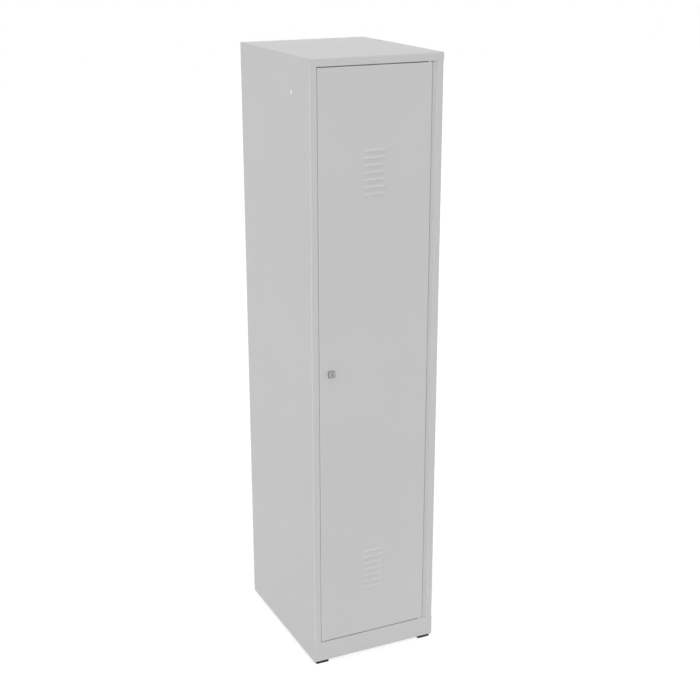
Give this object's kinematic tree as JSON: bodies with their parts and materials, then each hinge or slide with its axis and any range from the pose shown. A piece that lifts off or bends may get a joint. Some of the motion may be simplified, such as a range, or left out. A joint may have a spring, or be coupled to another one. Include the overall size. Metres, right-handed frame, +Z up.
{
  "type": "locker cabinet",
  "caption": "Tall steel clothes locker with one louvred door on pivot hinges, a key lock with rods at top and bottom, a hat shelf and a hanging rail with sliding coat hooks.",
  "frame": {"origin": "on the floor, under the middle of the body's width and depth", "axes": "+Z up, +X to the right seen from the front, the door faces -Y"},
  "size_m": [0.402, 0.508, 1.8],
  "materials": {
    "paint": "pale grey powder coat, satin",
    "black_plastic": "moulded, matte black",
    "pale_plastic": "moulded, off-white",
    "bright_steel": "bright plated tube",
    "zinc_steel": "bright zinc plate",
    "lock_metal": "satin nickel plate",
    "aluminium": "plain blind rivet",
    "rubber": "matte dark grey"
  },
  "bodies": {
    "cabinet": {"left_side_panel": "paint", "right_side_panel": "paint", "back_panel": "paint", "top_panel": "paint", "floor_panel": "paint", "rear_base_rail": "paint", "hat_shelf": "paint", "shelf_lugs": "paint", "foot_front_left": "black_plastic", "foot_front_right": "black_plastic", "foot_rear_left": "black_plastic", "foot_rear_right": "black_plastic", "joining_plug_left": "pale_plastic", "joining_plug_right": "pale_plastic", "hanging_rail": "bright_steel", "rail_bracket_left": "zinc_steel", "rail_bracket_right": "zinc_steel", "rail_cap_left": "black_plastic", "rail_cap_right": "black_plastic", "bracket_rivets": "aluminium", "upper_hinge_bush": "pale_plastic", "lower_hinge_bush": "pale_plastic", "upper_door_buffer": "rubber", "lower_door_buffer": "rubber"},
    "door": {"door_skin": "paint", "door_stiffener": "paint", "upper_hinge_pin": "zinc_steel", "lower_hinge_pin": "zinc_steel", "lock_housing": "lock_metal", "lock_nut": "zinc_steel", "upper_rod_guide": "zinc_steel", "lower_rod_guide": "zinc_steel"},
    "lock": {"lock_plug": "lock_metal", "lock_cam": "zinc_steel", "cam_screw": "zinc_steel"},
    "upper_rod": {"upper_rod": "zinc_steel"},
    "lower_rod": {"lower_rod": "zinc_steel"},
    "coat_hook_left": {"coat_hook_left": "black_plastic"},
    "coat_hook_middle": {"coat_hook_middle": "black_plastic"},
    "coat_hook_right": {"coat_hook_right": "black_plastic"}
  },
  "joints": [
    {"name": "door_hinge", "type": "hinge", "parent": "cabinet", "child": "door", "pos_m": [0.159, -0.243, 0.924], "axis": [0, 0, 1], "range_deg": [0, 110]},
    {"name": "upper_rod_slide", "type": "slide", "parent": "door", "child": "upper_rod", "axis": [0, 0, 1], "range_m": [0, 0.01838]},
    {"name": "lock_turn", "type": "hinge", "parent": "door", "child": "lock", "pos_m": [-0.1415, -0.25, 0.924], "axis": [0, 1, 0], "range_deg": [0, 90]},
    {"name": "lower_rod_slide", "type": "slide", "parent": "door", "child": "lower_rod", "axis": [0, 0, -1], "range_m": [0, 0.01838]},
    {"name": "coat_hook_left_slide", "type": "slide", "parent": "cabinet", "child": "coat_hook_left", "axis": [1, 0, 0], "range_m": [-0.04, 0.04]},
    {"name": "coat_hook_middle_slide", "type": "slide", "parent": "cabinet", "child": "coat_hook_middle", "axis": [1, 0, 0], "range_m": [-0.04, 0.04]},
    {"name": "coat_hook_right_slide", "type": "slide", "parent": "cabinet", "child": "coat_hook_right", "axis": [1, 0, 0], "range_m": [-0.04, 0.04]}
  ],
  "couplings": [
    {"joint": "lock_turn", "follows": "upper_rod_slide", "rad_per_m": 85.44},
    {"joint": "lower_rod_slide", "follows": "upper_rod_slide", "ratio": 1}
  ]
}
